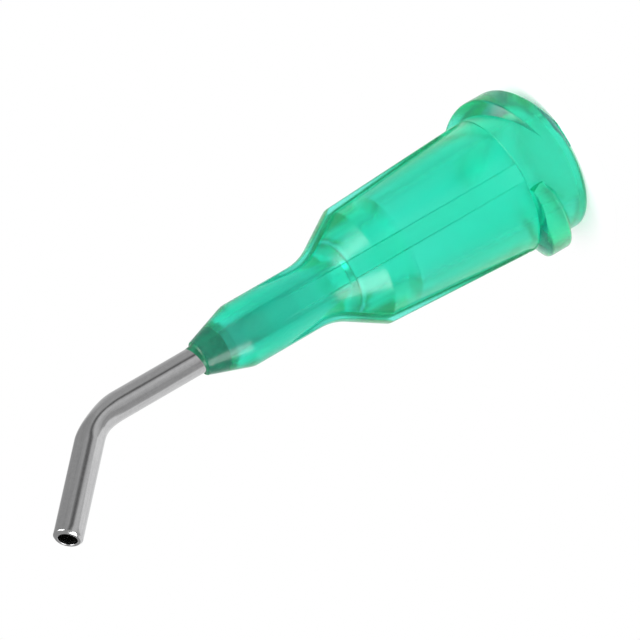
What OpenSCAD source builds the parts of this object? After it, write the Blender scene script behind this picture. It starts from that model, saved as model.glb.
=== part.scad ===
// Dispensing needle tip: a moulded polypropylene hub with a Luer lock socket,
// a stainless steel cannula bent near its middle, and the bead of adhesive
// that bonds the two. The hub stands on its mouth, with the cannula upwards.
// Millimetres. Origin at the centre of the mouth's face, +Z along the Luer
// axis towards the cannula, and the cannula bends towards +X.

/* [Luer socket] */
// Diameter of the socket at the mouth's face
socket_d = 4.30; // [4.20:0.01:4.35]
// Taper of the socket, as a percentage of its length, on the diameter
socket_taper = 6; // [5.5:0.1:6.5]
// Depth of the tapered socket
socket_depth = 8.3; // [7.5:0.1:8.6]
// Width of the lead-in chamfer at the mouth
lead_in = 0.2; // [0.05:0.05:0.3]

/* [Lock collar] */
// Diameter of the collar under the lugs
collar_d = 6.45; // [6.3:0.05:6.7]
// Length of the collar, from the mouth's face
collar_len = 2.7; // [2.3:0.1:3.2]
// Diameter across the two lugs
lug_d = 7.8; // [7.5:0.05:7.85]
// Advance of each lug in one whole turn
lug_lead = 5; // [4.5:0.1:5.5]
// Width of a lug's crest along the axis
lug_crest = 1.1; // [0.8:0.05:1.2]
// Slope of a lug's flanks, from square to the axis
lug_flank = 28; // [20:1:32]
// Height of a lug's middle above the mouth's face, where the lug starts
lug_start_z = 2.65; // [2.4:0.05:2.8]
// Angle over which a lug's rounded start widens to its full width
lug_start_angle = 14; // [8:1:20]
// Angle between the first rib and the start of a lug
lug_lag = 14; // [0:1:45]
// Radius of the rounded rims at the mouth
rim_r = 0.3; // [0.1:0.05:0.4]

/* [Barrel and neck] */
// Length of the hub, from the mouth's face to the end of the nose
hub_len = 18.4; // [17.8:0.1:20]
// Height of the shoulder's corner above the mouth's face
shoulder_z = 10.05; // [9.6:0.05:10.4]
// Diameter over the ribs at the shoulder's corner
shoulder_d = 5.62; // [5.3:0.02:6]
// Radius of the shoulder's corner
shoulder_edge_r = 0.35; // [0.1:0.05:0.6]
// Slope of the shoulder, from the axis
shoulder_slope = 31; // [28:1:40]
// Diameter of the neck
neck_d = 2.93; // [2.6:0.01:3.1]
// Radius of the hollow sweep between the shoulder and the neck
sweep_r = 2.6; // [1:0.1:3]
// Length of the nose, from its rounded corner to its end
nose_len = 2; // [1.6:0.1:2.4]
// Diameter of the nose at its end
nose_d = 1.6; // [1.55:0.01:1.8]
// Radius of the nose's rounded corner
nose_r = 1.1; // [0.3:0.1:1.3]

/* [Ribs] */
// Number of ribs around the hub
rib_count = 4; // [2:1:6]
// Thickness of a rib
rib_t = 0.83; // [0.5:0.01:1]
// Height of a rib above the barrel at the shoulder, and above the neck
rib_h = 0.26; // [0.15:0.01:0.35]
// Height of a rib above the barrel at the collar
rib_foot_h = 0.08; // [0.02:0.01:0.14]
// Distance from the end of the nose to where the ribs run out
rib_runout = 3.5; // [3:0.1:4.5]
// Angle of the first rib from the plane of the cannula's bend
rib_turn = 63; // [0:1:90]

/* [Passage] */
// Diameter of the chamber past the socket
chamber_d = 2.9; // [2.4:0.05:3.2]
// Length of the slope from the socket to the chamber
chamber_slope_len = 0.5; // [0.3:0.05:0.8]
// Height of the chamber's floor above the mouth's face
chamber_z = 10.9; // [10.4:0.1:11.2]
// Gap around the cannula in its bore, on the radius
bore_gap = 0.02; // [0.01:0.005:0.04]

/* [Cannula] */
// Outer diameter of the cannula
tube_d = 1.27; // [1.1:0.01:1.3]
// Bore of the cannula
tube_bore = 0.84; // [0.5:0.01:0.9]
// Length of the cannula that is held inside the hub
tube_held = 4.75; // [3.6:0.05:5.2]
// Length from the end of the nose to the corner of the bend
tube_reach = 5.36; // [4.5:0.02:8]
// Length from the corner of the bend to the tip
tube_tip_len = 5.93; // [4.5:0.01:8]
// Angle of the bend
bend_angle = 45; // [20:1:60]
// Radius of the bend, on the centre line
bend_r = 3; // [2:0.1:4]
// Width left in the bend's plane at its middle, as a share of the diameter
bend_flat = 0.88; // [0.75:0.01:1]
// Width of the chamfer around the tip
tip_chamfer = 0.1; // [0.04:0.01:0.15]

/* [Adhesive] */
// Thickness of the adhesive around the cannula, on the radius
glue_t = 0.09; // [0.06:0.01:0.12]
// Depth of the adhesive's well in the nose
glue_depth = 1.1; // [0.6:0.1:1.5]
// Height of the adhesive's fillet on the cannula, past the nose
glue_fillet = 0.45; // [0.2:0.05:0.7]

/* [Hidden] */
$fn = 96;
// Overlap and overshoot of the cuts
over = 0.3;
// Steps along each rounded stretch of a profile
arc_steps = 8;
// Angle between the sections of a lug
lug_step = 5;
// Sections along the bend and points around each
bend_steps = 12;
bend_sides = 40;
// Size of the bend's sections against the straights, which they lap into
bend_fit = 0.999;

collar_r = collar_d / 2;
lug_r = lug_d / 2;
neck_r = neck_d / 2;
shoulder_r = shoulder_d / 2;
tube_r = tube_d / 2;
chamber_r = chamber_d / 2;
bore_r = tube_r + bore_gap;
tube_z = hub_len - tube_held;
bend_run = bend_r * tan(bend_angle / 2);
bend_start_z = hub_len + tube_reach - bend_run;
glue_r = tube_r + glue_t;
runout_z = hub_len - rib_runout;
nose_z = hub_len - nose_len;
socket_end_r = (socket_d - socket_depth * socket_taper / 100) / 2;

// Points of the arc that rounds the corner b between the points a and c
function unit(v) = v / norm(v);
function rounded(a, b, c, r) =
    let (
        u = unit(a - b),
        w = unit(c - b),
        half = acos(u * w) / 2,
        centre = b + unit(u + w) * r / sin(half),
        start = b + u * r / tan(half) - centre,
        turn = (180 - 2 * half) * sign(cross(start, b - centre))
    )
    [for (i = [0 : arc_steps])
        let (t = turn * i / arc_steps)
        centre + [start.x * cos(t) - start.y * sin(t), start.x * sin(t) + start.y * cos(t)]];

// Outer line of the hub, as [radius, height], from the collar's top to the
// nose. It lies inside the ribs' edge by foot_in_by at the collar and by in_by
// from the shoulder to the neck, and meets that edge where the ribs run out.
function hub_line(foot_in_by, in_by) =
    let (
        foot = [collar_r - foot_in_by, collar_len],
        corner = [shoulder_r - in_by, shoulder_z - in_by * tan(shoulder_slope / 2)],
        waist_z = corner.y + (corner.x - neck_r + in_by) / tan(shoulder_slope),
        waist = [neck_r - in_by, waist_z],
        runout = [neck_r, runout_z],
        nose = [neck_r, nose_z],
        tip = [nose_d / 2, hub_len]
    )
    concat(
        [foot],
        rounded(foot, corner, waist, shoulder_edge_r),
        rounded(corner, waist, runout, sweep_r),
        [runout],
        rounded(runout, nose, tip, nose_r),
        [tip]
    );

module turned(line) {
    rotate_extrude()
        polygon(concat([[0, line[0].y]], line, [[0, line[len(line) - 1].y]]));
}

module ribs() {
    intersection() {
        turned(hub_line(0, 0));
        for (i = [0 : rib_count - 1])
            rotate(rib_turn + 360 * i / rib_count)
                translate([0, -rib_t / 2, 0])
                    cube([collar_r, rib_t, hub_len]);
    }
}

// A disc with a rounded rim at the mouth, which bounds the collar or its lugs
module rimmed_disc(r) {
    rotate_extrude()
        polygon(concat(
            [[0, 0]],
            rounded([0, 0], [r, 0], [r, collar_len], rim_r),
            [[r, collar_len], [0, collar_len]]
        ));
}

// Depth of a lug's root inside the collar
lug_root = 0.5;
// Section of a lug at the angle a from its start: a slope-sided tooth whose
// far side is at its full width, and whose near side widens from the start
lug_in = collar_r - lug_root;
lug_out = lug_r + over;
function lug_half(r) = lug_crest / 2 + (lug_r - r) * tan(lug_flank);
function lug_share(a) = a >= lug_start_angle ? 1 : sqrt(1 - pow(1 - a / lug_start_angle, 2));
function lug_section(a) =
    let (
        z = lug_start_z - lug_lead * a / 360,
        share = 2 * max(0.03, lug_share(a)) - 1
    )
    [for (p = [[lug_in, -1], [lug_out, -1], [lug_out, share], [lug_in, share]])
        [p.x * cos(a), -p.x * sin(a), z + p.y * lug_half(p.x)]];
lug_sweep = lug_step * ceil(360 * (lug_start_z + lug_half(lug_in)) / lug_lead / lug_step);

module lug_band() {
    sections = [for (a = [0 : lug_step : lug_sweep]) lug_section(a)];
    count = len(sections);
    polyhedron(
        points = [for (s = sections) each s],
        faces = concat(
            [[0, 1, 2, 3]],
            [for (i = [0 : count - 2], k = [0 : 3])
                let (m = (k + 1) % 4)
                each [[4 * i + k, 4 * i + 4 + m, 4 * i + m], [4 * i + k, 4 * i + 4 + k, 4 * i + 4 + m]]],
            [[for (k = [3 : -1 : 0]) 4 * (count - 1) + k]]
        )
    );
}

module lugs() {
    intersection() {
        rimmed_disc(lug_r);
        for (i = [0, 1])
            rotate(rib_turn - lug_lag + 180 * i)
                lug_band();
    }
}

// Everything that is hollow: socket, chamber, bore and the adhesive's well
module passage() {
    rotate_extrude()
        polygon([
            [0, -over],
            [socket_d / 2 + lead_in + over, -over],
            [socket_d / 2 + lead_in, 0],
            [socket_d / 2 - lead_in * socket_taper / 200, lead_in],
            [socket_end_r, socket_depth],
            [chamber_r, socket_depth + chamber_slope_len],
            [chamber_r, chamber_z],
            [bore_r, chamber_z],
            [bore_r, hub_len - glue_depth],
            [glue_r, hub_len - glue_depth],
            [glue_r, hub_len + over],
            [0, hub_len + over]
        ]);
}

module hub() {
    color([0.24, 0.85, 0.68])
        difference() {
            union() {
                turned(hub_line(rib_foot_h, rib_h));
                ribs();
                rimmed_disc(collar_r);
                lugs();
            }
            passage();
        }
}

// Section of the bend at the share t of its angle: the pull of bending
// flattens the round tube most at the middle of the bend
function bend_section(r, t) =
    let (
        a = bend_angle * t,
        flat = 1 - (1 - bend_flat) * pow(sin(180 * t), 2)
    )
    [for (k = [0 : bend_sides - 1])
        let (
            in_plane = bend_fit * r * flat * cos(360 * k / bend_sides),
            across = bend_fit * r * (2 - flat) * sin(360 * k / bend_sides)
        )
        [bend_r - (bend_r - in_plane) * cos(a), across, bend_start_z + (bend_r - in_plane) * sin(a)]];

// The bend, swept from section to section, with a short lap into the straights
module bend(r) {
    lap = 0.2;
    last = bend_steps + 2;
    points = [for (i = [0 : last])
        let (
            t = min(1, max(0, (i - 1) / bend_steps)),
            push = i == 0 ? -lap : i == last ? lap : 0
        )
        for (p = bend_section(r, t)) p + push * [sin(bend_angle * t), 0, cos(bend_angle * t)]];
    polyhedron(
        points = points,
        faces = concat(
            [[for (k = [0 : bend_sides - 1]) k]],
            [for (i = [0 : last - 1], k = [0 : bend_sides - 1])
                let (a = bend_sides * i + k, b = bend_sides * i + (k + 1) % bend_sides)
                each [[a, b + bend_sides, b], [a, a + bend_sides, b + bend_sides]]],
            [[for (k = [bend_sides - 1 : -1 : 0]) bend_sides * last + k]]
        )
    );
}

// The cannula's outside or its bore, of radius r: two straights and the bend
module bent_rod(r, past) {
    translate([0, 0, tube_z - past])
        cylinder(r = r, h = bend_start_z - tube_z + past);
    bend(r);
    at_tip_end()
        translate([0, 0, bend_run - tube_tip_len])
            cylinder(r = r, h = tube_tip_len - bend_run + past);
}

// Places its children at the tip, with +Z pointing out of the cannula
module at_tip_end() {
    translate([0, 0, hub_len + tube_reach])
        rotate([0, bend_angle, 0])
            translate([0, 0, tube_tip_len])
                children();
}

module cannula() {
    color([0.72, 0.73, 0.75])
        difference() {
            bent_rod(tube_r, 0);
            bent_rod(tube_bore / 2, over);
            at_tip_end()
                rotate_extrude()
                    polygon([
                        [tube_r - tip_chamfer, 0],
                        [tube_r + over, -tip_chamfer - over],
                        [tube_r + over, over],
                        [tube_r - tip_chamfer, over]
                    ]);
        }
}

module adhesive() {
    color([0.02, 0.45, 0.3])
        rotate_extrude()
            polygon([
                [tube_r, hub_len - glue_depth],
                [glue_r, hub_len - glue_depth],
                [glue_r, hub_len],
                [tube_r, hub_len + glue_fillet]
            ]);
}

hub();
cannula();
adhesive();
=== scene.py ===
"""Visual model of a dispensing needle tip: a moulded translucent hub with a Luer
lock socket, a bent stainless cannula and the adhesive that bonds the two.
Everything stands in the part's own frame, +Z from the mouth to the cannula."""

import math

import bmesh
import bpy
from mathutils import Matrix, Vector


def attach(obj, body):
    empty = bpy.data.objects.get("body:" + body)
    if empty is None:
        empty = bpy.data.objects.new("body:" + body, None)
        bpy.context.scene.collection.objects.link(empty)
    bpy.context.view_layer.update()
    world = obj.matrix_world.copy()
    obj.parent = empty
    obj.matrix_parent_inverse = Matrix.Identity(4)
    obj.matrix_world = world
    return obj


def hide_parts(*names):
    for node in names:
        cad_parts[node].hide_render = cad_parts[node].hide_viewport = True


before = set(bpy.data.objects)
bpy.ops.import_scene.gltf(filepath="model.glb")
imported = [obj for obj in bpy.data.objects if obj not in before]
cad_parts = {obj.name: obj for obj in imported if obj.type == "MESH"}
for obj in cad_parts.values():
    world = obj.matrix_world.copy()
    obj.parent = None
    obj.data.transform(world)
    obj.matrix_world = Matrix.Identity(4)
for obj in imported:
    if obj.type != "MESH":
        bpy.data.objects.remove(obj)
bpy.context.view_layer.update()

# ---------------------------------------------------------------- Camera
# A long lens looks down on the tip from its cannula's end, and is rolled so
# that the hub lies across the frame with its mouth at the upper right.
MM = 0.001
CAMERA_TARGET = Vector((2.443, 2.268, 14.0)) * MM
CAMERA_DISTANCE = 182.76 * MM
CAMERA_AZIMUTH = math.radians(153.24)
CAMERA_ELEVATION = math.radians(20.64)
CAMERA_ROLL = math.radians(120.21)
CAMERA_VIEW = math.radians(8.394)
SENSOR_WIDTH = 36
NEAREST_SEEN, FARTHEST_SEEN = 0.01, 5

camera_back = Vector((
    math.sin(CAMERA_AZIMUTH) * math.cos(CAMERA_ELEVATION),
    -math.cos(CAMERA_AZIMUTH) * math.cos(CAMERA_ELEVATION),
    math.sin(CAMERA_ELEVATION),
))
bpy.ops.object.camera_add(location=CAMERA_TARGET + camera_back * CAMERA_DISTANCE)
camera = bpy.context.object
upright = (-camera_back).to_track_quat("-Z", "Y").to_matrix()
rolled = upright.copy()
turn_cos, turn_sin = math.cos(CAMERA_ROLL), math.sin(CAMERA_ROLL)
for row in range(3):
    right, up = upright[row][0], upright[row][1]
    rolled[row][0] = right * turn_cos - up * turn_sin
    rolled[row][1] = right * turn_sin + up * turn_cos
camera.rotation_euler = rolled.to_euler()
camera.data.sensor_width = SENSOR_WIDTH
camera.data.angle = CAMERA_VIEW
camera.data.clip_start = NEAREST_SEEN
camera.data.clip_end = FARTHEST_SEEN
bpy.context.scene.camera = camera
bpy.context.scene.view_settings.view_transform = "Standard"


# ---------------------------------------------------------------- Studio
# A light tent on a round white card. The lens sees it plain white. Through the
# plastic its sides are dimmer than its two ends, and polished surfaces see its
# walls, with a dark seam, under a dim roof.
class Shade:
    """A socket in a node tree, so that shader maths reads as plain maths."""

    def __init__(self, tree, socket):
        self.tree = tree
        self.socket = socket

    def node(self, kind, inputs=(), output=0, **settings):
        """Adds a node, with its settings first and then its inputs."""
        made = self.tree.nodes.new(kind)
        for name, value in settings.items():
            if name == "stops":
                ramp = made.color_ramp.elements
                for _ in value[2:]:
                    ramp.new(0.5)
                for stop, (place, level) in zip(ramp, value):
                    stop.position = place
                    stop.color = (level, level, level, 1)
            else:
                setattr(made, name, value)
        for key, value in dict(inputs).items():
            if isinstance(value, Shade):
                self.tree.links.new(value.socket, made.inputs[key])
            else:
                made.inputs[key].default_value = value
        return Shade(self.tree, made.outputs[output])

    def out(self, name):
        """Another output of the node that this socket belongs to."""
        return Shade(self.tree, self.socket.node.outputs[name])

    def maths(self, operation, *values):
        return self.node("ShaderNodeMath", dict(enumerate(values)), operation=operation)

    def __add__(self, other):
        return self.maths("ADD", self, other)

    def __radd__(self, other):
        return self.maths("ADD", other, self)

    def __sub__(self, other):
        return self.maths("SUBTRACT", self, other)

    def __rsub__(self, other):
        return self.maths("SUBTRACT", other, self)

    def __mul__(self, other):
        return self.maths("MULTIPLY", self, other)

    def __rmul__(self, other):
        return self.maths("MULTIPLY", other, self)

    def __truediv__(self, other):
        return self.maths("DIVIDE", self, other)

    def highest(self, other):
        return self.maths("MAXIMUM", self, other)

    def between(self, start, end):
        """A smooth ramp, 0 up to the start and 1 from the end, whichever is higher."""
        return self.node(
            "ShaderNodeMapRange",
            {"Value": self, "From Min": start, "From Max": end},
            interpolation_type="SMOOTHSTEP",
        )

    def colour(self, first, second):
        """The first colour where this is 0 and the second where it is 1."""
        inputs = {"Factor": self}
        for slot, value in ((6, first), (7, second)):
            inputs[slot] = value if isinstance(value, Shade) else (*value, 1)
        return self.node("ShaderNodeMix", inputs, output=2, data_type="RGBA")


def new_material(name):
    material = bpy.data.materials.new(name)
    material.use_nodes = True
    tree = material.node_tree
    tree.nodes.clear()
    tree.nodes.new("ShaderNodeOutputMaterial")
    return material, Shade(tree, None)


def finish_material(start, surface, volume=None):
    output = start.tree.nodes["Material Output"]
    start.tree.links.new(surface.socket, output.inputs["Surface"])
    if volume:
        start.tree.links.new(volume.socket, output.inputs["Volume"])


def grey(level):
    return (level, level, level)


ROOF_LEVEL = 0.42
SIDE_WALL_LEVEL = 0.66
MATT_LEVEL = 0.8
ROOF_EDGE_Z, WALL_TOP_Z = 0.1, -0.15
SIDE_WALL_TO, END_WALL_FROM = 0.3, 0.85

world = bpy.data.worlds.new("light_tent")
world.use_nodes = True
world.node_tree.nodes.clear()
sky = Shade(world.node_tree, None)
direction = sky.node("ShaderNodeTexCoord")
split = direction.node("ShaderNodeSeparateXYZ", {0: direction})
turned = sky.maths("ARCTAN2", split.out("Y"), split) / math.tau
once_round = turned + turned.maths("LESS_THAN", turned, 0.0)
# the tent's walls as they go round from +X, with a dark seam between two
tent_walls = (
    (0.00, 0.47), (0.09, 0.44), (0.15, 0.60), (0.225, 0.74), (0.255, 0.66),
    (0.283, 0.16), (0.305, 0.16), (0.335, 0.50), (0.44, 0.47), (0.56, 0.66),
    (0.70, 0.95), (0.955, 0.90), (0.99, 0.50),
)
tent_level = sky.node("ShaderNodeValToRGB", {0: once_round}, stops=tent_walls)
low_down = split.out("Z").between(ROOF_EDGE_Z, WALL_TOP_Z)
tent_colour = low_down.colour(grey(ROOF_LEVEL), tent_level)
tent = sky.node("ShaderNodeBackground", {"Color": tent_colour, "Strength": 1.0})
white = sky.node("ShaderNodeBackground", {"Color": (1, 1, 1, 1), "Strength": 1.0})
lit = sky.node("ShaderNodeBackground", {"Color": (1, 1, 1, 1), "Strength": MATT_LEVEL})
path = sky.node("ShaderNodeLightPath")
through = path.out("Is Transmission Ray")
# light that comes through the plastic is strongest from the two end walls
facing = direction.node(
    "ShaderNodeVectorMath", {0: direction, 1: camera_back}, output=1, operation="DOT_PRODUCT"
)
end_wall = facing.maths("ABSOLUTE", facing).between(SIDE_WALL_TO, END_WALL_FROM)
side_wall = end_wall.colour(grey(SIDE_WALL_LEVEL), grey(1))
behind = sky.node("ShaderNodeBackground", {"Color": side_wall, "Strength": 1.0})
open_view = sky.node("ShaderNodeMixShader", {0: through, 1: white, 2: behind})
seen = sky.node("ShaderNodeMixShader", {0: path.highest(through), 1: lit, 2: open_view})
mirrored = path.out("Is Glossy Ray") * (1 - through)
seen = sky.node("ShaderNodeMixShader", {0: mirrored, 1: seen, 2: tent})
world_output = world.node_tree.nodes.new("ShaderNodeOutputWorld")
world.node_tree.links.new(seen.socket, world_output.inputs["Surface"])
bpy.context.scene.world = world

# The floor is a white card. Close to the mouth it keeps the hub's shadow, and
# further out it is as white as the tent.
FLOOR_RADIUS = 14 * MM
SHADOW_RADIUS = 5 * MM
SHADOW_CORE = 0.4 * SHADOW_RADIUS
CARD_WHITE = 0.92

bpy.ops.mesh.primitive_circle_add(vertices=96, radius=FLOOR_RADIUS, fill_type="NGON")
floor = bpy.context.object
floor.name = "floor"
floor_material, card = new_material("white_card")
place = card.node("ShaderNodeTexCoord").out("Object")
reach = place.node("ShaderNodeVectorMath", {0: place}, output=1, operation="LENGTH")
far_off = reach.between(SHADOW_CORE, SHADOW_RADIUS)
matt = card.node("ShaderNodeBsdfDiffuse", {"Color": (*grey(CARD_WHITE), 1)})
glow = card.node("ShaderNodeEmission", {"Color": (1, 1, 1, 1), "Strength": 1.0})
path = card.node("ShaderNodeLightPath")
seen_at_all = path.highest(path.out("Is Transmission Ray")).highest(path.out("Is Glossy Ray"))
surface = card.node("ShaderNodeMixShader", {0: seen_at_all * far_off, 1: matt, 2: glow})
finish_material(card, surface)
floor.data.materials.append(floor_material)

# Two soft boxes, above and beside, give the satin surfaces a gentle gradient.
LAMP_AIM_Z = 12

for name, spot, size, power in (
    ("overhead_softbox", (-60, 90, 160), 140, 0.35),
    ("side_softbox", (150, 20, 90), 110, 0.2),
):
    bpy.ops.object.light_add(type="AREA", location=Vector(spot) * MM)
    lamp = bpy.context.object
    lamp.name = name
    lamp.data.energy = power
    lamp.data.size = size * MM
    aim = Vector((0, 0, LAMP_AIM_Z * MM)) - lamp.location
    lamp.rotation_euler = aim.to_track_quat("-Z", "Y").to_euler()

# ---------------------------------------------------------------- Hub
# One polypropylene moulding, tinted a clear green. Four ribs run from the
# collar over the shoulder to the neck, and two lugs screw into a Luer lock.
HUB_LENGTH = 18.4
COLLAR_R = 3.225
COLLAR_LENGTH = 2.7
RIM_R = 0.3
SHOULDER_Z = 10.05
SHOULDER_R = 2.81
SHOULDER_SLOPE = 31
SHOULDER_EDGE_R = 0.35
SWEEP_R = 2.6
NECK_R = 1.465
NOSE_LENGTH = 2.0
NOSE_END_R = 0.8
NOSE_EDGE_R = 1.1
RIB_COUNT = 4
RIB_HALF = 0.415
RIB_RISE = 0.26
RIB_FOOT_RISE = 0.08
RIB_RUNOUT_Z = HUB_LENGTH - 3.5
RIB_TURN = 63
WALL_LEAN = 0.035


def rounded(points, steps=8):
    """A line through (r, z, radius) corners, each rounded by its radius."""
    line = []
    for i, (r, z, radius) in enumerate(points):
        corner = Vector((r, z))
        if radius == 0:
            line.append(corner)
            continue
        before = (Vector(points[i - 1][:2]) - corner).normalized()
        after = (Vector(points[i + 1][:2]) - corner).normalized()
        half = before.angle(after) / 2
        centre = corner + (before + after).normalized() * radius / math.sin(half)
        start = corner + before * radius / math.tan(half) - centre
        end = corner + after * radius / math.tan(half) - centre
        turn = start.angle_signed(end)
        for step in range(steps + 1):
            a = -turn * step / steps
            line.append(centre + Vector((
                start.x * math.cos(a) - start.y * math.sin(a),
                start.x * math.sin(a) + start.y * math.cos(a),
            )))
    return line


def outside(foot_rise, rise):
    """The hub's outer line, inside the ribs' edge by the rise given."""
    slope = math.radians(SHOULDER_SLOPE)
    corner_r = SHOULDER_R - rise
    corner_z = SHOULDER_Z - rise * math.tan(slope / 2)
    waist_z = corner_z + (corner_r - NECK_R + rise) / math.tan(slope)
    return rounded([
        (COLLAR_R - foot_rise, COLLAR_LENGTH, 0),
        (corner_r, corner_z, SHOULDER_EDGE_R),
        (NECK_R - rise, waist_z, SWEEP_R),
        (NECK_R, RIB_RUNOUT_Z, 0),
        (NECK_R, HUB_LENGTH - NOSE_LENGTH, NOSE_EDGE_R),
        (NOSE_END_R, HUB_LENGTH, 0),
    ], steps=10)


def radius_at(line, z):
    for low, high in zip(line, line[1:]):
        if low.y <= z <= high.y:
            share = (z - low.y) / max(high.y - low.y, 1e-9)
            return low.x + (high.x - low.x) * share
    return line[-1].x


def smooth(t):
    t = min(1, max(0, t))
    return t * t * (3 - 2 * t)


# places across half a rib, close together on its leaning wall
RIB_ACROSS = [0, 0.1, 0.2, 0.3]
RIB_ACROSS += [RIB_HALF + WALL_LEAN * k / 3 for k in (-6, -3, -2, -1, 0, 1, 2, 3, 6)]
GAP_STEPS = 13


def ribbed_ring(z, body_r, rib_r):
    """One ring of the hub: the ribs' tops, their leaning walls and the gaps."""
    half = []
    for across in RIB_ACROSS:
        share = smooth((RIB_HALF + WALL_LEAN - across) / (2 * WALL_LEAN))
        r = body_r + (rib_r - body_r) * share
        half.append((math.asin(across / r), r))
    edge = half[-1][0]
    for k in range(1, GAP_STEPS + 1):
        half.append((edge + (math.pi / RIB_COUNT - edge) * k / GAP_STEPS, body_r))
    sector = [(-a, r) for a, r in half[:0:-1]] + half[:-1]
    ring = []
    for rib in range(RIB_COUNT):
        centre = math.radians(RIB_TURN + 360 / RIB_COUNT * rib)
        ring += [Vector((r * math.cos(centre + a), r * math.sin(centre + a), z)) for a, r in sector]
    return ring


def select_only(piece):
    bpy.ops.object.select_all(action="DESELECT")
    piece.select_set(True)
    bpy.context.view_layer.objects.active = piece


def loft(name, rings, capped=False):
    """A skin through loops of points, closed back to its start or capped at both ends."""
    bpy.ops.object.select_all(action="DESELECT")
    count = len(rings[0])
    bpy.ops.mesh.primitive_circle_add(vertices=count, radius=MM)
    piece = bpy.context.object
    piece.name = name
    bpy.ops.object.mode_set(mode="EDIT")
    bpy.ops.mesh.select_all(action="SELECT")
    mesh = bmesh.from_edit_mesh(piece.data)
    mesh.verts.ensure_lookup_table()
    # walk round the loop, so that each vertex has its place in the ring
    seat = {mesh.verts[0].index: 0}
    here, last = mesh.verts[0], None
    for k in range(1, count):
        step = [e.other_vert(here) for e in here.link_edges if e.other_vert(here) is not last][0]
        last, here = here, step
        seat[here.index] = k
    for vertex in mesh.verts:
        vertex.co = rings[0][seat[vertex.index]] * MM
    for ring in rings[1:]:
        bpy.ops.mesh.extrude_region_move()
        mesh = bmesh.from_edit_mesh(piece.data)
        mesh.verts.ensure_lookup_table()
        next_seat = {}
        for vertex in mesh.verts[-count:]:
            partner = [e.other_vert(vertex) for e in vertex.link_edges if not e.other_vert(vertex).select][0]
            next_seat[vertex.index] = seat[partner.index]
            vertex.co = ring[next_seat[vertex.index]] * MM
        seat = next_seat
    bmesh.update_edit_mesh(piece.data)
    bpy.ops.mesh.select_all(action="DESELECT")
    bpy.ops.mesh.select_non_manifold()
    if capped:
        bpy.ops.mesh.fill_holes(sides=0)
    else:
        bpy.ops.mesh.bridge_edge_loops()
    bpy.ops.mesh.select_all(action="SELECT")
    bpy.ops.mesh.normals_make_consistent(inside=False)
    bpy.ops.object.mode_set(mode="OBJECT")
    return piece


# the heights of the rings: every bend of both lines, and steps between them
LEAST_RING_GAP = 0.03
RING_GAP = 0.35

rib_line = outside(0, 0)
body_line = outside(RIB_FOOT_RISE, RIB_RISE)
stations = sorted({round(p.y, 3) for p in rib_line + body_line})
heights = [COLLAR_LENGTH]
for z in stations:
    gap = z - heights[-1]
    if gap < LEAST_RING_GAP and z < HUB_LENGTH:
        continue
    steps_up = max(1, math.ceil(gap / RING_GAP))
    start = heights[-1]
    heights += [start + gap * k / steps_up for k in range(1, steps_up + 1)]

# up the outside: rounded mouth rim, collar, its small step, then the ribs
MOUTH_R = 2.15
LEAD_IN = 0.2
COLLAR_EDGE_R = 0.04
COLLAR_STEP = 0.05
rim = rounded([
    (MOUTH_R + LEAD_IN, 0, 0),
    (COLLAR_R, 0, RIM_R),
    (COLLAR_R, COLLAR_LENGTH, COLLAR_EDGE_R),
    (COLLAR_R - COLLAR_STEP, COLLAR_LENGTH, 0),
])
hub_rings = [ribbed_ring(p.y, p.x, p.x) for p in rim[:-1]]
for z in heights[1:]:
    hub_rings.append(ribbed_ring(z, radius_at(body_line, z), radius_at(rib_line, z)))

# and down the inside: the adhesive's well, the bore, the chamber and the socket
TUBE_R = 0.635
BORE_R = TUBE_R + 0.02
WELL_R = TUBE_R + 0.09
WELL_DEPTH = 1.1
CHAMBER_R = 1.45
CHAMBER_Z = 10.9
CHAMBER_SLOPE = 0.5
SOCKET_DEPTH = 8.3
SOCKET_LEAN = 0.03
SOCKET_END_R = MOUTH_R - SOCKET_DEPTH * SOCKET_LEAN
inside = rounded([
    (WELL_R, HUB_LENGTH, 0),
    (WELL_R, HUB_LENGTH - WELL_DEPTH, 0.02),
    (BORE_R, HUB_LENGTH - WELL_DEPTH, 0.02),
    (BORE_R, CHAMBER_Z, 0.08),
    (CHAMBER_R, CHAMBER_Z, 0.2),
    (CHAMBER_R, SOCKET_DEPTH + CHAMBER_SLOPE, 0.15),
    (SOCKET_END_R, SOCKET_DEPTH, 0.12),
    (MOUTH_R - LEAD_IN * SOCKET_LEAN, LEAD_IN, 0.05),
    (MOUTH_R + LEAD_IN, 0, 0),
], steps=5)
hub_rings += [ribbed_ring(p.y, p.x, p.x) for p in inside[:-1]]
hub = loft("hub_moulding", hub_rings)

# The lugs: teeth on a right-hand screw, cut to the collar's length. Each one
# widens from a rounded start, and fades into the collar towards the mouth.
LUG_R = 3.82
LUG_LEAD = 5.2
LUG_CREST = 1.04
LUG_EDGE_R = 0.18
LUG_FLANK = math.radians(30)
LUG_START_Z = 2.65
LUG_START_SHARE = 0.5
LUG_WIDENING = 14
LUG_LEAST_WIDTH = 0.2
LUG_LEAST_EDGE_R = 0.005
LUG_SUNK = 0.06
LUG_LAG = 14
LUG_ROOT_R = COLLAR_R - 0.5
LUG_FADE_FROM = 84
LUG_SWEEP = 168
LUG_STEP = 3


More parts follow.
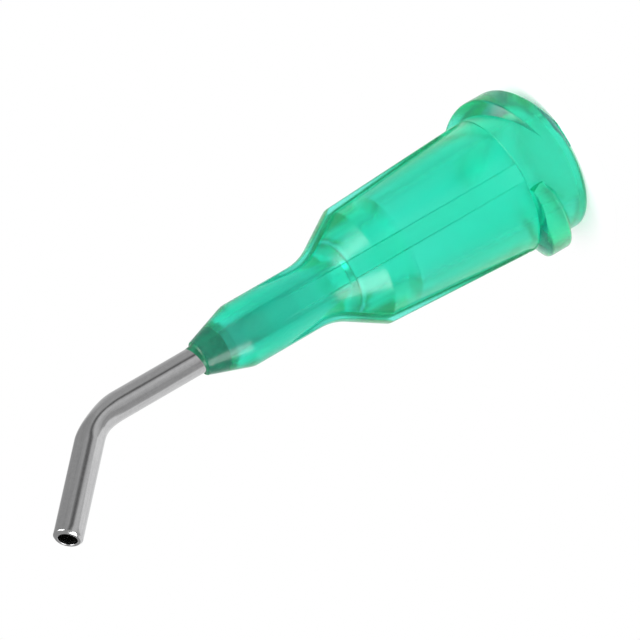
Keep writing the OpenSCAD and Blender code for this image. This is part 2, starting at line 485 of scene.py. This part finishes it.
def lug_ring(a):
    """The tooth's section at an angle behind its start: it widens, then fades away."""
    widened = max(LUG_LEAST_WIDTH, math.sqrt(1 - (1 - min(1, a / LUG_WIDENING)) ** 2))
    height = LUG_START_SHARE + (1 - LUG_START_SHARE) * smooth(a / LUG_WIDENING)
    height *= 1 - smooth((a - LUG_FADE_FROM) / (LUG_SWEEP - LUG_FADE_FROM))
    crest_r = COLLAR_R - LUG_SUNK + (LUG_R - COLLAR_R + LUG_SUNK) * height
    z = LUG_START_Z - LUG_LEAD * a / 360
    turn = math.radians(RIB_TURN - LUG_LAG - a)
    low_crest = z - LUG_CREST / 2
    high_crest = low_crest + LUG_CREST * widened
    flank = (crest_r - LUG_ROOT_R) * math.tan(LUG_FLANK)
    edge_r = LUG_EDGE_R * widened * height + LUG_LEAST_EDGE_R
    section = rounded([
        (LUG_ROOT_R, low_crest - flank, 0),
        (crest_r, low_crest, edge_r),
        (crest_r, high_crest, edge_r),
        (LUG_ROOT_R, high_crest + flank, 0),
    ], steps=4)
    return [Vector((p.x * math.cos(turn), p.x * math.sin(turn), p.y)) for p in section]


def apply_modifier(piece, kind, **settings):
    select_only(piece)
    modifier = piece.modifiers.new(kind.lower(), kind)
    for name, value in settings.items():
        setattr(modifier, name, value)
    bpy.ops.object.modifier_apply(modifier=modifier.name)


# the washer's faces and corners miss the hub's own, which keeps the joins clean
WASHER_HOLE_R = 0.5
WASHER_MARGIN = 0.3
WASHER_SHORTER = 0.002
WASHER_TURN = 0.7
WASHER_SIDES = 180


def collar_washer():
    """A washer as long as the collar, which cuts a lug off level with the mouth."""
    outer_r = LUG_R + WASHER_MARGIN
    low, high = WASHER_SHORTER, COLLAR_LENGTH - WASHER_SHORTER
    turns = [math.radians(360 * k / WASHER_SIDES + WASHER_TURN) for k in range(WASHER_SIDES)]
    rings = []
    for r, z in ((WASHER_HOLE_R, low), (outer_r, low), (outer_r, high), (WASHER_HOLE_R, high)):
        rings.append([Vector((r * math.cos(t), r * math.sin(t), z)) for t in turns])
    return loft("collar_length", rings)


for half_turn in (0, 180):
    lug = loft("lug", [lug_ring(a) for a in range(0, LUG_SWEEP + 1, LUG_STEP)], capped=True)
    select_only(lug)
    lug.rotation_euler.z = math.radians(half_turn)
    bpy.ops.object.transform_apply(location=False, rotation=True, scale=False)
    limit = collar_washer()
    apply_modifier(lug, "BOOLEAN", operation="INTERSECT", object=limit, solver="EXACT")
    bpy.data.objects.remove(limit)
    apply_modifier(hub, "BOOLEAN", operation="UNION", object=lug, solver="EXACT")
    bpy.data.objects.remove(lug)

HUB_CREASE = math.radians(35)
select_only(hub)
bpy.ops.object.shade_smooth_by_angle(angle=HUB_CREASE)

# Clear green polypropylene with a slight haze: white light loses most of its
# red in the first millimetre, and the colour deepens with the thickness it
# crosses. The haze is stronger in the solid neck than in the barrel and nose.
RED_LOSS, GREEN_LOSS, BLUE_LOSS = 1500, 20, 165
DENSITY = 1550
CORE_FROM_Z, CORE_TO_Z = 11.0, 13.0
NOSE_FROM_Z, NOSE_TO_Z = 14.6, 16.8
HAZE_SHARE, CORE_HAZE_SHARE = 0.1, 0.34
PLASTIC_IOR = 1.49

hub_material, plastic = new_material("green_polypropylene")
place = plastic.node("ShaderNodeTexCoord").out("Object")
haze = place.node(
    "ShaderNodeTexNoise", {"Vector": place, "Scale": 900.0, "Detail": 3.0, "Roughness": 0.6}
)
grain = place.node(
    "ShaderNodeTexNoise", {"Vector": place, "Scale": 7000.0, "Detail": 2.0, "Roughness": 0.5}
)
bump = plastic.node("ShaderNodeBump", {"Height": grain, "Strength": 0.06, "Distance": 0.00001})
rise = place.node("ShaderNodeSeparateXYZ", {0: place}).out("Z")
core = rise.between(CORE_FROM_Z * MM, CORE_TO_Z * MM)
nose = rise.between(NOSE_FROM_Z * MM, NOSE_TO_Z * MM)
gloss = plastic.node("ShaderNodeBsdfPrincipled", {
    "Base Color": (0.8, 1.0, 0.97, 1),
    "Roughness": 0.2 + 0.08 * haze,
    "IOR": PLASTIC_IOR,
    "Transmission Weight": 1.0,
    "Normal": bump,
})
milk = plastic.node("ShaderNodeBsdfPrincipled", {
    "Base Color": (0.0, 0.58, 0.41, 1),
    "Roughness": 0.35,
    "IOR": PLASTIC_IOR,
})
milkiness = HAZE_SHARE + CORE_HAZE_SHARE * core - CORE_HAZE_SHARE * nose
surface = plastic.node("ShaderNodeMixShader", {0: milkiness, 1: gloss, 2: milk})
body = plastic.node("ShaderNodeVolumeAbsorption", {
    "Color": (1 - RED_LOSS / DENSITY, 1 - GREEN_LOSS / DENSITY, 1 - BLUE_LOSS / DENSITY, 1),
    "Density": DENSITY,
})
finish_material(plastic, surface, body)


def dress(piece, node, material):
    """Gives the piece its material, and the same one to the CAD node that it replaces."""
    piece.data.materials.append(material)
    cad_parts[node].data.materials.clear()
    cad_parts[node].data.materials.append(material)


dress(hub, "hub", hub_material)
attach(hub, "root")
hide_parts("hub")

# ---------------------------------------------------------------- Cannula
# Drawn stainless tube, bent over a former, which has flattened it a little at
# the middle of the bend. Its tip is faced and chamfered.
TUBE_BORE_R = 0.42
TUBE_START_Z = HUB_LENGTH - 4.75
TUBE_REACH = 5.36
TIP_LENGTH = 5.93
BEND = math.radians(45)
BEND_R = 3.0
BEND_FLAT = 0.12
BEND_STEPS = 32
TIP_CHAMFER = 0.1
TIP_DEPTH = 0.4
TUBE_SIDES = 72
TUBE_CREASE = math.radians(40)

bend_run = BEND_R * math.tan(BEND / 2)
bend_start_z = HUB_LENGTH + TUBE_REACH - bend_run
straight_length = bend_start_z - TUBE_START_Z
arc_length = BEND_R * BEND
tube_length = straight_length + arc_length + TIP_LENGTH - bend_run


def tube_ring(along, radius):
    """A ring of the tube at a length along its bent centre line."""
    turn = min(1, max(0, (along - straight_length) / arc_length)) * BEND
    rise_to = TUBE_START_Z + min(along, straight_length) + BEND_R * math.sin(turn)
    centre = Vector((BEND_R * (1 - math.cos(turn)), 0, rise_to))
    past = max(0, along - straight_length - arc_length)
    centre += Vector((math.sin(turn), 0, math.cos(turn))) * past
    flat = BEND_FLAT * math.sin(math.pi * turn / BEND) ** 2
    across = Vector((math.cos(turn), 0, -math.sin(turn)))
    ring = []
    for k in range(TUBE_SIDES):
        a = 2 * math.pi * k / TUBE_SIDES
        sideways = Vector((0, radius * (1 + flat) * math.sin(a), 0))
        ring.append(centre + across * radius * (1 - flat) * math.cos(a) + sideways)
    return ring


# out along the tube's outside, over its tip, and back along its bore
straight_stops = [1.5, 3.0, 4.5, 6.0, 7.5]
bend_stops = [straight_length + arc_length * k / BEND_STEPS for k in range(BEND_STEPS + 1)]
tip_stops = [tube_length - d for d in (3.5, 2.4, 1.2, TIP_DEPTH)]
tube_line = [(s, TUBE_R) for s in [0.0] + straight_stops + bend_stops + tip_stops]
edge = rounded([
    (TUBE_R, -TIP_DEPTH, 0),
    (TUBE_R, -TIP_CHAMFER, 0.05),
    (TUBE_R - TIP_CHAMFER, 0, 0.05),
    (TUBE_BORE_R, 0, 0.03),
    (TUBE_BORE_R, -TIP_DEPTH, 0),
], steps=4)
tube_line += [(tube_length + p.y, p.x) for p in edge[1:]]
tube_line += [(s, TUBE_BORE_R) for s in reversed(straight_stops + bend_stops)]
tube_line += [(0.0, TUBE_BORE_R)]
cannula = loft("bent_cannula", [tube_ring(s, r) for s, r in tube_line])

# the unbent place of each point, for finishes that follow the tube
unbent = cannula.data.attributes.new("unbent", "FLOAT_VECTOR", "POINT")
for vertex, spot in zip(cannula.data.vertices, unbent.data):
    p = vertex.co / MM
    over_bend = p - Vector((BEND_R, 0, bend_start_z))
    turn = min(BEND, max(0, math.atan2(over_bend.z, -over_bend.x)))
    if p.z < bend_start_z:
        spot.vector = Vector((p.x, p.y, p.z))
        continue
    axis = Vector((math.sin(turn), 0, math.cos(turn)))
    foot = Vector((BEND_R * (1 - math.cos(turn)), 0, bend_start_z + BEND_R * math.sin(turn)))
    out = p - foot
    past = out.dot(axis)
    along = bend_start_z + BEND_R * turn + past
    spot.vector = Vector((out.dot(Vector((math.cos(turn), 0, -math.sin(turn)))), p.y, along))
select_only(cannula)
bpy.ops.object.shade_smooth_by_angle(angle=TUBE_CREASE)

# fine lines run along the tube, as drawing leaves them, under a soft mottle
DRAW_STRETCH = (9.0, 9.0, 0.35)

steel_material, steel = new_material("drawn_stainless")
flow = steel.node("ShaderNodeAttribute", attribute_name="unbent").out("Vector")
stretched = flow.node("ShaderNodeVectorMath", {0: flow, 1: DRAW_STRETCH}, operation="MULTIPLY")
draw_lines = stretched.node(
    "ShaderNodeTexNoise", {"Vector": stretched, "Scale": 1.0, "Detail": 5.0, "Roughness": 0.62}
)
mottle = flow.node(
    "ShaderNodeTexNoise", {"Vector": flow, "Scale": 6.0, "Detail": 4.0, "Roughness": 0.6}
)
shade = (0.6 * draw_lines + 0.4 * mottle).between(0.3, 0.7)
bump = steel.node("ShaderNodeBump", {"Height": draw_lines, "Strength": 0.25, "Distance": 0.00001})
surface = steel.node("ShaderNodeBsdfPrincipled", {
    "Base Color": shade.colour((0.50, 0.50, 0.505), (0.60, 0.60, 0.605)),
    "Metallic": 1.0,
    "Roughness": 0.1 + 0.06 * mottle,
    "Normal": bump,
})
finish_material(steel, surface)
dress(cannula, "cannula", steel_material)
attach(cannula, "root")
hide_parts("cannula")

# ---------------------------------------------------------------- Adhesive
# A ring of cured adhesive fills the well in the nose and has crept a little way
# up the cannula, further on one side. It laps a hair's breadth into the tube
# and into the plastic, so that no film of air shows between them.
FILLET = 0.45
FILLET_FOOT = 0.035
FILLET_FOOT_RISE = 0.1
WETTING = 0.012
CREEP_MEAN, CREEP_SWING = 0.6, 0.4
CREEP_SIDE = math.radians(150)
GLUE_SIDES = 72

glue_line = rounded([
    (TUBE_R - WETTING, HUB_LENGTH - WELL_DEPTH, 0),
    (WELL_R + WETTING, HUB_LENGTH - WELL_DEPTH, 0.02),
    (WELL_R + WETTING, HUB_LENGTH - 0.02, 0.02),
    (TUBE_R + FILLET_FOOT, HUB_LENGTH + FILLET_FOOT_RISE, 0.15),
    (TUBE_R - WETTING, HUB_LENGTH + FILLET, 0),
], steps=4)
glue_rings = []
for p in glue_line:
    ring = []
    for k in range(GLUE_SIDES):
        a = 2 * math.pi * k / GLUE_SIDES
        creep = CREEP_MEAN + CREEP_SWING * math.cos(a - CREEP_SIDE)
        z = p.y if p.y <= HUB_LENGTH else HUB_LENGTH + (p.y - HUB_LENGTH) * creep
        ring.append(Vector((p.x * math.cos(a), p.x * math.sin(a), z)))
    glue_rings.append(ring)
adhesive = loft("adhesive_bead", glue_rings)
select_only(adhesive)
bpy.ops.object.shade_smooth_by_angle(angle=TUBE_CREASE)

glue_material, glue = new_material("green_adhesive")
place = glue.node("ShaderNodeTexCoord").out("Object")
cloud = place.node(
    "ShaderNodeTexNoise", {"Vector": place, "Scale": 1800.0, "Detail": 3.0, "Roughness": 0.6}
)
surface = glue.node("ShaderNodeBsdfPrincipled", {
    "Base Color": cloud.between(0.3, 0.7).colour((0.0, 0.10, 0.045), (0.005, 0.19, 0.09)),
    "Roughness": 0.25 + 0.2 * cloud,
    "IOR": 1.5,
})
finish_material(glue, surface)
dress(adhesive, "adhesive", glue_material)
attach(adhesive, "root")
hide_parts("adhesive")
